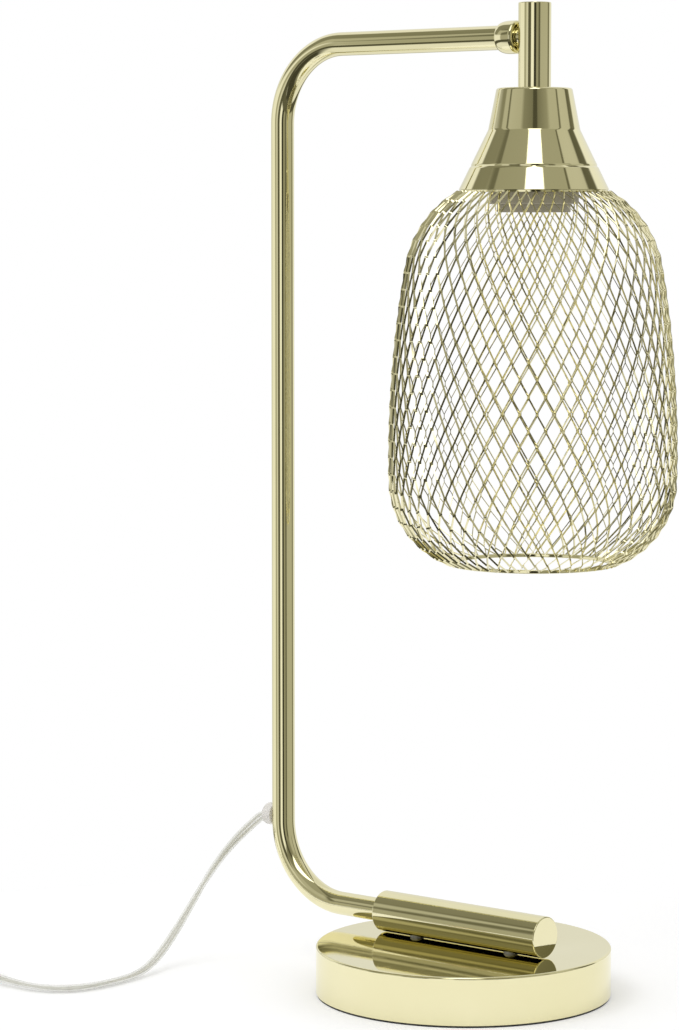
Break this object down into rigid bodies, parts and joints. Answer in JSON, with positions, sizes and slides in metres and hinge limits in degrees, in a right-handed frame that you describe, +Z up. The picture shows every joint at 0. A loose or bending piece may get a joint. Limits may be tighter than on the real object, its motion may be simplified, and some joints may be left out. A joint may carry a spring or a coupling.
{
  "type": "table lamp",
  "caption": "Table lamp with a round weighted base, a bent tube post and arm, and a diamond-mesh metal shade hung from a socket cone; flat clear cord with in-line switch.",
  "frame": {"origin": "middle of the base's underside, on the table", "axes": "+Z up, +X from the post towards the shade, +Y to the left of that seen from above"},
  "size_m": [0.4018, 0.317, 0.4975],
  "materials": {
    "gold_metal": "mirror-polished pale gold plating",
    "iron": "as cast, hidden in the base",
    "pad": "soft dark pad",
    "steel": "zinc plated",
    "spacer_nylon": "grey nylon",
    "clear_plastic": "clear over tinned strands",
    "lead_insulation": "insulated wire",
    "socket_plastic": "fine satin moulding",
    "contact_brass": "plain brass",
    "fitting_plastic": "smooth moulding",
    "tie_plastic": "soft strap"
  },
  "bodies": {
    "lamp": {"base_shell": "gold_metal", "base_weight": "iron", "base_pad": "pad", "base_screws": "steel", "base_screw_washers": "steel", "bar_spacers": "spacer_nylon", "bar": "gold_metal", "post_set_screw": "steel", "post": "gold_metal", "cord_grommet": "clear_plastic", "inner_leads": "lead_insulation", "arm_collar": "gold_metal", "arm_stud": "steel", "head_tube": "gold_metal", "head_cap": "gold_metal", "socket_cone": "gold_metal", "nipple": "steel", "nut_washer": "steel", "nipple_nut": "steel", "socket_cap": "socket_plastic", "socket_body": "socket_plastic", "screw_shell": "contact_brass", "centre_contact": "contact_brass", "terminal_blocks": "contact_brass", "terminal_screws": "steel", "shade_plate": "gold_metal", "shade_ring": "socket_plastic", "shade_cage": "gold_metal", "shade_rim": "gold_metal", "cord_lead": "clear_plastic", "cord_middle": "clear_plastic", "cord_coil": "clear_plastic", "cord_tail": "clear_plastic", "cord_tie": "tie_plastic", "switch_lower_shell": "fitting_plastic", "switch_upper_shell": "fitting_plastic", "switch_contacts": "contact_brass", "switch_screws": "steel", "plug_body": "fitting_plastic", "plug_blades": "contact_brass"},
    "switch_rocker": {"switch_rocker": "fitting_plastic"}
  },
  "joints": [
    {"name": "rocker_tilt", "type": "hinge", "parent": "lamp", "child": "switch_rocker", "pos_m": [-0.231, -0.137, 0.0095], "axis": [0, 1, 0], "range_deg": [0, 20]}
  ]
}
